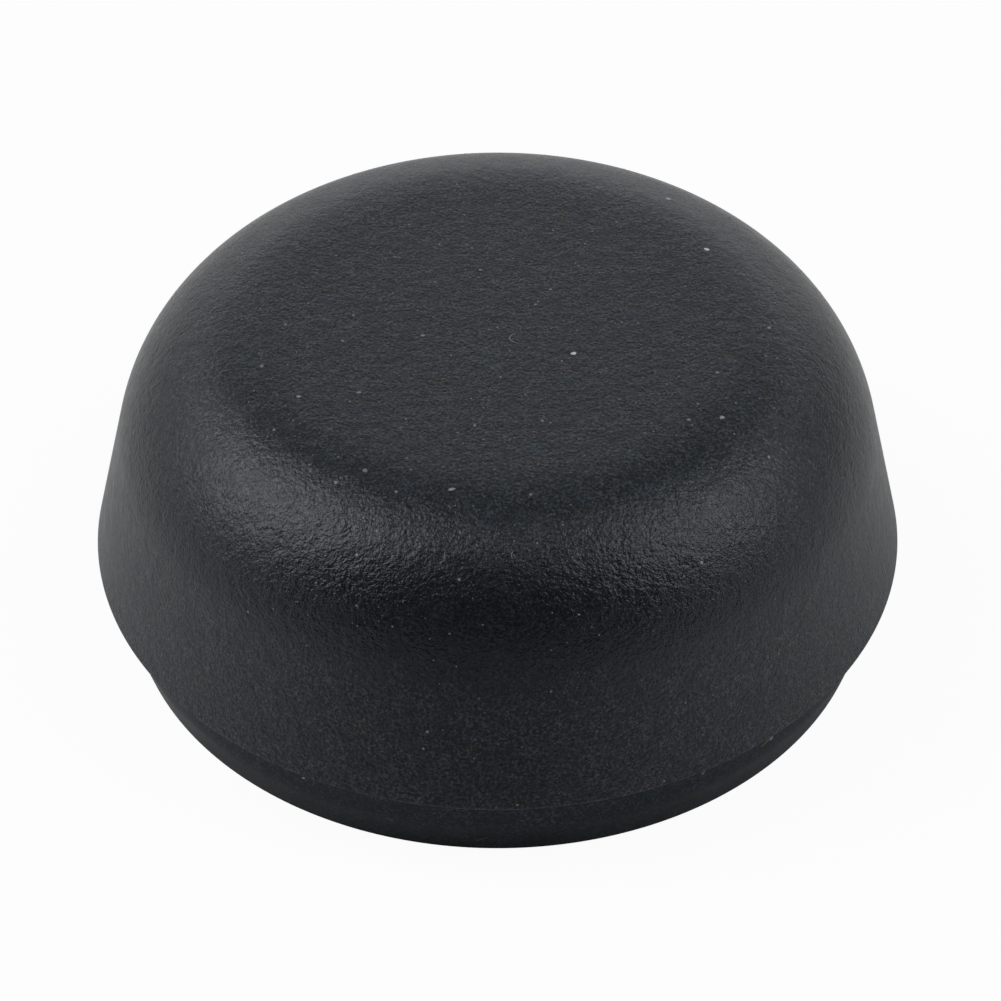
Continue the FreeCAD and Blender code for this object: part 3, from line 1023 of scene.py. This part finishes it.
def makeFloor(choice):
    corners = choice["floorCorners"]
    angles = [2 * math.pi * k / corners for k in range(corners)]
    radii = choice["floorOpening"] / 2, choice["floorSize"] / 2
    vertices = [(r * math.cos(a), r * math.sin(a), 0) for r in radii for a in angles]
    faces = []
    for k in range(corners):
        after = (k + 1) % corners
        faces.append((k, corners + k, corners + after, after))
    mesh = bpy.data.meshes.new("studioFloor")
    mesh.from_pydata(vertices, [], faces)
    floor = newObject("studioFloor", mesh)
    material, tree, shader = newMaterial("paperFloor")
    tree.nodes.remove(shader)

    def mixShaders(factor, first, second):
        inputs = {0: factor, 1: first.outputs[0], 2: second.outputs[0]}
        return addNode(tree, "ShaderNodeMixShader", inputs)

    fromCamera, fromGloss = lightPath(tree)
    place = addNode(tree, "ShaderNodeTexCoord").outputs["Object"]
    away = distanceFrom(tree, place, choice["shadePlace"])
    shade = remap(tree, away, *choice["shadeReach"], 1, 0)
    shaded = calc(tree, "MULTIPLY", shade, fromGloss)
    colour = blendColours(tree, shaded, choice["floorColour"], choice["shadedFloor"])
    paper = addNode(tree, "ShaderNodeBsdfDiffuse", {"Color": colour})
    glow = addNode(tree, "ShaderNodeEmission", {"Strength": 1.0})
    share = calc(tree, "MULTIPLY", fromCamera, choice["floorGlow"])
    mixed = mixShaders(share, paper, glow)

    # Clear from below
    below = addNode(tree, "ShaderNodeNewGeometry").outputs["Backfacing"]
    clear = addNode(tree, "ShaderNodeBsdfTransparent")
    oneSided = mixShaders(below, mixed, clear)
    tree.links.new(oneSided.outputs[0], tree.nodes["Material Output"].inputs["Surface"])
    material.cycles.emission_sampling = "NONE"
    mesh.materials.append(material)


def makeWorld(choice):
    world = bpy.data.worlds.new("studio")
    world.use_nodes = True
    world.cycles.sampling_method = "NONE"
    tree = world.node_tree
    fromCamera, fromGloss = lightPath(tree)
    direction = addNode(tree, "ShaderNodeTexCoord").outputs["Generated"]
    parts = addNode(tree, "ShaderNodeSeparateXYZ", {0: direction}).outputs
    depth = parts["Y"]
    room = addNode(tree, "ShaderNodeValToRGB", {"Fac": remap(tree, depth, -1, 1, 0, 1)})
    room.color_ramp.interpolation = "EASE"
    for place, level in choice["room"][1:-1]:
        room.color_ramp.elements.new(place)
    for element, (place, level) in zip(room.color_ramp.elements, choice["room"]):
        element.position = place
        element.color = (level, level, level, 1)
    edge = calc(tree, "MULTIPLY", depth, math.tan(math.radians(choice["backdropEdge"])))
    blur = choice["backdropBlur"]
    above = remap(tree, calc(tree, "SUBTRACT", parts["Z"], edge), -blur, blur, 0, 1)
    ceiling = calc(tree, "MINIMUM", room.outputs["Color"], choice["ceiling"])
    inGloss = blend(tree, above, room.outputs["Color"], ceiling)
    seen = blend(tree, fromGloss, choice["ambient"], inGloss)
    level = blend(tree, calc(tree, "LESS_THAN", parts["Z"], 0), seen, choice["belowFloor"])
    wire(tree, (1, 1, 1, 1), tree.nodes["Background"].inputs["Color"])
    wire(tree, blend(tree, fromCamera, level, 1), tree.nodes["Background"].inputs["Strength"])
    bpy.context.scene.world = world


def makeSoftbox(name, choice):
    azimuth = math.radians(choice["azimuth"])
    elevation = math.radians(choice["elevation"])
    level = math.cos(elevation)
    direction = Vector((math.sin(azimuth) * level, math.cos(azimuth) * level, math.sin(elevation)))
    light = bpy.data.lights.new(name, "AREA")
    light.shape = "RECTANGLE"
    light.size = choice["wide"]
    light.size_y = choice["tall"]
    light.energy = choice["watts"]
    softbox = newObject(name, light)
    softbox.location = direction * choice["distance"]
    softbox.rotation_euler = direction.to_track_quat("Z", "Y").to_euler()


makeFloor(studio)
makeWorld(studio)
for name, choice in studio["softboxes"].items():
    makeSoftbox(name, choice)
bpy.context.scene.view_settings.view_transform = "Standard"
print("studio set:", ", ".join(studio["softboxes"]))
